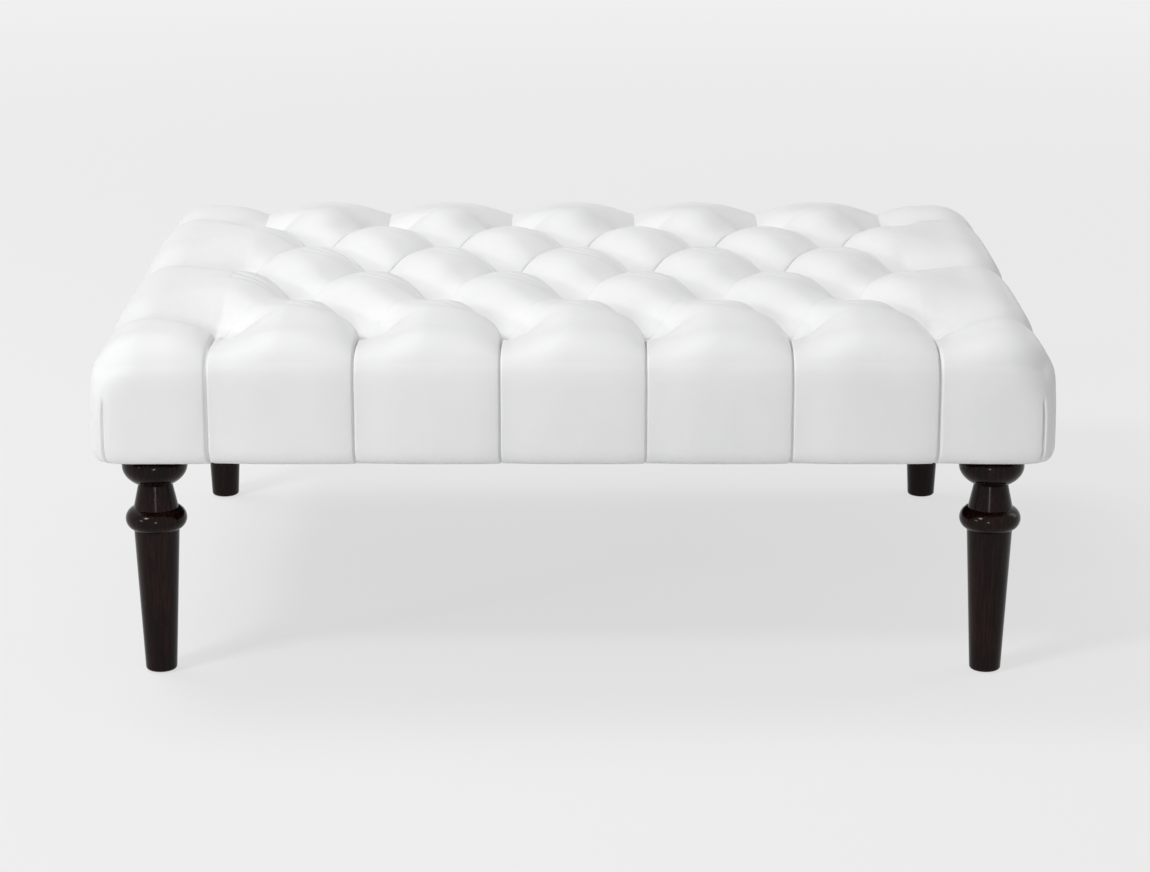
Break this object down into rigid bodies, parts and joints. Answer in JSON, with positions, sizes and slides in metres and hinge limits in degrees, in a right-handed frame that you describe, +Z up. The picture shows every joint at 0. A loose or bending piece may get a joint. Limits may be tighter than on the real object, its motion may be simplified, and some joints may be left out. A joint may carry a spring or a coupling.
{
  "type": "tufted footstool",
  "caption": "Wide low upholstered footstool: a deep diamond-tufted white seat over a timber frame, standing on turned dark wood legs.",
  "frame": {"origin": "on the floor under the middle of the stool", "axes": "+X along the width, to the right seen from the front; the front faces -Y; +Z up"},
  "size_m": [1.1154, 0.8736, 0.4289],
  "materials": {
    "white_fabric": "smooth woven satin",
    "dark_wood": "espresso stain, semi-gloss",
    "pine": "sawn and planed",
    "plywood": "plain plywood",
    "foam": "open-cell foam",
    "dust_cloth": "thin non-woven cloth",
    "twine": "waxed",
    "nylon": "moulded",
    "zinc_steel": "zinc plated",
    "washer_steel": "plain pressed steel"
  },
  "bodies": {
    "root": {"leg_front_left": "dark_wood", "glide_front_left": "nylon", "hanger_bolt_front_left": "zinc_steel", "tee_nut_front_left": "zinc_steel", "corner_block_front_left": "pine", "leg_front_right": "dark_wood", "glide_front_right": "nylon", "hanger_bolt_front_right": "zinc_steel", "tee_nut_front_right": "zinc_steel", "corner_block_front_right": "pine", "leg_back_left": "dark_wood", "glide_back_left": "nylon", "hanger_bolt_back_left": "zinc_steel", "tee_nut_back_left": "zinc_steel", "corner_block_back_left": "pine", "leg_back_right": "dark_wood", "glide_back_right": "nylon", "hanger_bolt_back_right": "zinc_steel", "tee_nut_back_right": "zinc_steel", "corner_block_back_right": "pine", "rail_front": "pine", "edge_padding_front": "foam", "rail_back": "pine", "edge_padding_back": "foam", "rail_left": "pine", "edge_padding_left": "foam", "rail_right": "pine", "edge_padding_right": "foam", "stretcher_left": "pine", "stretcher_right": "pine", "frame_screws": "zinc_steel", "deck_screws": "zinc_steel", "deck_board": "plywood", "tuft_washers": "washer_steel", "tuft_twines": "twine", "foam_core": "foam", "tufted_cover": "white_fabric", "dust_cover": "dust_cloth"}
  },
  "joints": []
}
